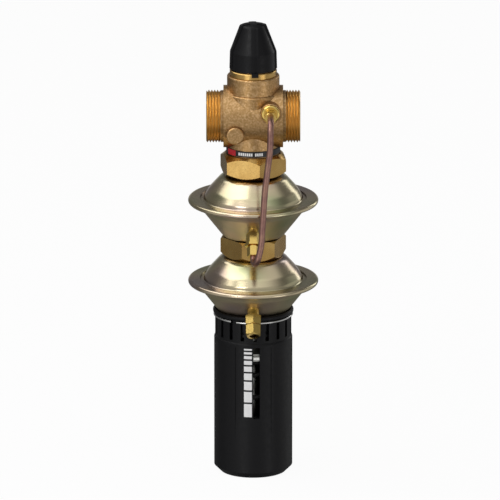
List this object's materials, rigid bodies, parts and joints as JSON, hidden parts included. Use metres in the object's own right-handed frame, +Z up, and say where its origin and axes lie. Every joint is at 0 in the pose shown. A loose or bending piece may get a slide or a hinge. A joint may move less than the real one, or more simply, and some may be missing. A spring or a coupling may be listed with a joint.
{
  "type": "differential pressure regulator",
  "caption": "Upright self-acting pressure regulator: bronze valve body, diaphragm housings, copper impulse tube, capped restrictor and a black setting handle.",
  "frame": {"origin": "centre of the handle's flat foot, on the stem's axis", "axes": "+Z up the stem towards the cap, +X along the pipe axis to the right, -Y to the front"},
  "size_m": [0.104, 0.1179, 0.3703],
  "materials": {
    "cast_bronze": "sand-cast bronze, fine grain, machined golden threads",
    "nut_brass": "forged and turned brass, glossy",
    "fitting_brass": "turned brass, glossy",
    "yellow_zinc": "pressed steel, yellow passivated zinc with a faint iridescence",
    "copper_tube": "drawn copper, dull",
    "black_plastic": "moulded, soft sheen",
    "band_black": "black printed band with a red field",
    "bright_wire": "bright spring wire",
    "white_plastic": "moulded white",
    "black_steel": "black coated spring steel",
    "plain_steel": "turned stainless steel",
    "seal_rubber": "moulded rubber",
    "bush_plastic": "natural moulded plastic"
  },
  "bodies": {
    "valve": {"valve_body": "cast_bronze", "label_band": "band_black", "seat_insert": "plain_steel", "seat_o_ring": "seal_rubber", "restrictor_bonnet": "nut_brass", "bonnet_o_ring": "seal_rubber", "spindle_clip": "plain_steel", "upper_union_nut": "nut_brass", "middle_union_nut": "nut_brass", "upper_connection_neck": "nut_brass", "lower_connection_neck": "nut_brass", "upper_bowl_neck": "nut_brass", "upper_neck_gasket": "seal_rubber", "middle_neck_gasket": "seal_rubber", "upper_guide_bush": "bush_plastic", "lower_guide_bush": "bush_plastic", "upper_stem_seal": "seal_rubber", "lower_stem_seal": "seal_rubber", "upper_housing_cover": "yellow_zinc", "upper_housing_bowl": "yellow_zinc", "lower_housing_cover": "yellow_zinc", "lower_housing_bowl": "yellow_zinc", "upper_diaphragm": "seal_rubber", "lower_diaphragm": "seal_rubber", "flow_spring": "plain_steel", "spring_collar": "black_plastic", "collar_hub": "plain_steel", "collar_nut": "plain_steel", "body_tap_connector": "fitting_brass", "body_tap_nut": "fitting_brass", "housing_tap_connector": "fitting_brass", "housing_tap_nut": "fitting_brass", "outer_tap_connector": "fitting_brass", "outer_tap_nut": "fitting_brass", "outer_tap_ferrule": "fitting_brass", "tube_ferrules": "fitting_brass", "impulse_tube": "copper_tube"},
    "cap": {"restrictor_cap": "black_plastic"},
    "restrictor": {"restrictor_spindle": "plain_steel", "spindle_o_ring": "seal_rubber"},
    "throttle": {"throttle_sleeve": "nut_brass"},
    "stem": {"valve_stem": "plain_steel", "cone_nut": "plain_steel", "valve_cone": "nut_brass", "cone_seal": "seal_rubber", "lower_stem": "plain_steel", "upper_coupling_nut": "plain_steel", "lower_coupling_nut": "plain_steel", "stop_sleeve": "plain_steel", "upper_plate_above": "plain_steel", "upper_plate_below": "plain_steel", "lower_plate_above": "plain_steel", "lower_plate_below": "plain_steel", "setting_spindle": "plain_steel"},
    "handle": {"setting_handle": "black_plastic", "retaining_ring": "bright_wire", "thrust_washer": "bush_plastic", "setting_spring": "black_steel"},
    "setting_nut": {"setting_nut": "plain_steel", "setting_marker": "white_plastic"}
  },
  "joints": [
    {"name": "cap_lift", "type": "slide", "parent": "valve", "child": "cap", "axis": [0, 0, 1], "range_m": [0, 0.05]},
    {"name": "restrictor_turn", "type": "hinge", "parent": "valve", "child": "restrictor", "pos_m": [0, 0, 0.34], "axis": [0, 0, 1], "range_deg": [-1801, 1]},
    {"name": "throttle_slide", "type": "slide", "parent": "valve", "child": "throttle", "axis": [0, 0, 1], "range_m": [-0.0075, 0]},
    {"name": "stem_lift", "type": "slide", "parent": "valve", "child": "stem", "axis": [0, 0, 1], "range_m": [-0.005, 0], "stiffness_N_per_m": 4000, "springref_m": 0.01, "deforming": ["upper_diaphragm", "lower_diaphragm", "flow_spring"]},
    {"name": "handle_turn", "type": "hinge", "parent": "valve", "child": "handle", "pos_m": [0, 0, 0.06], "axis": [0, 0, 1], "range_deg": [-4140, 540]},
    {"name": "nut_slide", "type": "slide", "parent": "handle", "child": "setting_nut", "axis": [0, 0, 1], "range_m": [-0.04601, 0.00601], "deforming": ["setting_spring"]}
  ],
  "couplings": [
    {"joint": "restrictor_turn", "follows": "throttle_slide", "rad_per_m": 4188.8},
    {"joint": "nut_slide", "follows": "handle_turn", "m_per_rad": 0.00063662}
  ]
}
